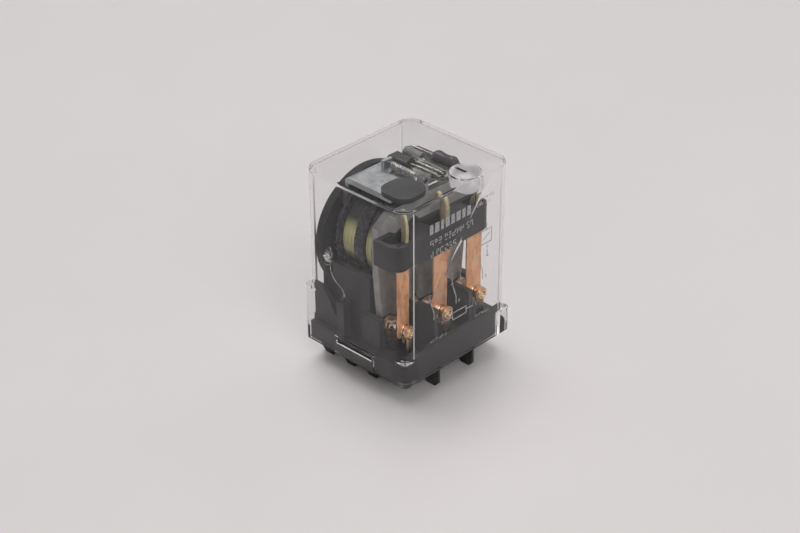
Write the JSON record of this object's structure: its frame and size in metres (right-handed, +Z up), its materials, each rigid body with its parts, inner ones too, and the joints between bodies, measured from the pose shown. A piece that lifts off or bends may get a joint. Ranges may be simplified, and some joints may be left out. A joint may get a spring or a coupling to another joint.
{
  "type": "plug in relay",
  "caption": "Plug-in power relay: clear clip-on box over a black base with flat blades underneath, a coil lying inside and a hinged armature that swings copper contact blades.",
  "frame": {"origin": "bottom centre of the whole relay, on the plane of the blade tips", "axes": "+Z up from the blade tips to the cover's top; +X along the coil's axis towards the contact side; +Y across the three poles"},
  "size_m": [0.0356, 0.0396, 0.0556],
  "materials": {
    "black_plastic": "moulded phenolic, satin gloss",
    "bobbin_plastic": "moulded nylon, satin gloss",
    "clear_cover": "clear polycarbonate, polished",
    "dark_insert": "moulded, matte",
    "magnet_wire": "enamelled fine wire under clear tape",
    "zinc_steel": "zinc plated, dull",
    "core_iron": "plated iron, machined",
    "bright_steel": "nickel plated",
    "copper_strip": "rolled copper alloy",
    "terminal_brass": "rolled brass, darkened",
    "contact_silver": "silver alloy, polished",
    "solder_tin": "tinned",
    "lead_sleeving": "woven sleeving",
    "lamp_glass": "clear glass",
    "resistor_body": "lacquered"
  },
  "bodies": {
    "frame": {"base": "black_plastic", "bobbin": "bobbin_plastic", "closed_contact_1": "contact_silver", "closed_contact_2": "contact_silver", "closed_contact_3": "contact_silver", "coil_cradle": "black_plastic", "coil_lead_a": "solder_tin", "coil_lead_b": "solder_tin", "core": "core_iron", "core_screw": "bright_steel", "cover": "clear_cover", "end_cap": "black_plastic", "flexible_lead_1": "lead_sleeving", "flexible_lead_2": "lead_sleeving", "flexible_lead_3": "lead_sleeving", "hinge_hood": "black_plastic", "indicator_insert": "dark_insert", "indicator_lens": "clear_cover", "lamp_electrodes": "bright_steel", "lamp_holder": "black_plastic", "lamp_leads": "bright_steel", "lamp_resistor": "resistor_body", "lead_sleeve": "lead_sleeving", "neon_lamp": "lamp_glass", "open_contact_1": "contact_silver", "open_contact_2": "contact_silver", "open_contact_3": "contact_silver", "return_spring": "bright_steel", "shading_ring": "copper_strip", "solder_tag_a": "solder_tin", "solder_tag_b": "solder_tin", "spring_post": "zinc_steel", "terminal_closed_1": "terminal_brass", "terminal_closed_2": "terminal_brass", "terminal_closed_3": "terminal_brass", "terminal_coil_a": "terminal_brass", "terminal_coil_b": "terminal_brass", "terminal_common_1": "terminal_brass", "terminal_common_2": "terminal_brass", "terminal_common_3": "terminal_brass", "terminal_open_1": "terminal_brass", "terminal_open_2": "terminal_brass", "terminal_open_3": "terminal_brass", "winding_front": "magnet_wire", "winding_rear": "magnet_wire", "yoke": "zinc_steel", "yoke_screws": "bright_steel"},
    "armature": {"armature": "zinc_steel", "carrier": "black_plastic", "blade_rivets": "bright_steel", "moving_blade_1": "copper_strip", "moving_blade_2": "copper_strip", "moving_blade_3": "copper_strip", "moving_contact_1": "contact_silver", "moving_contact_2": "contact_silver", "moving_contact_3": "contact_silver"}
  },
  "joints": [
    {"name": "armature_hinge", "type": "hinge", "parent": "frame", "child": "armature", "pos_m": [0.003, 0, 0.048], "axis": [0, 1, 0], "range_deg": [0, 2.85], "stiffness_Nm_per_rad": 0.02, "springref_deg": -8.59}
  ]
}
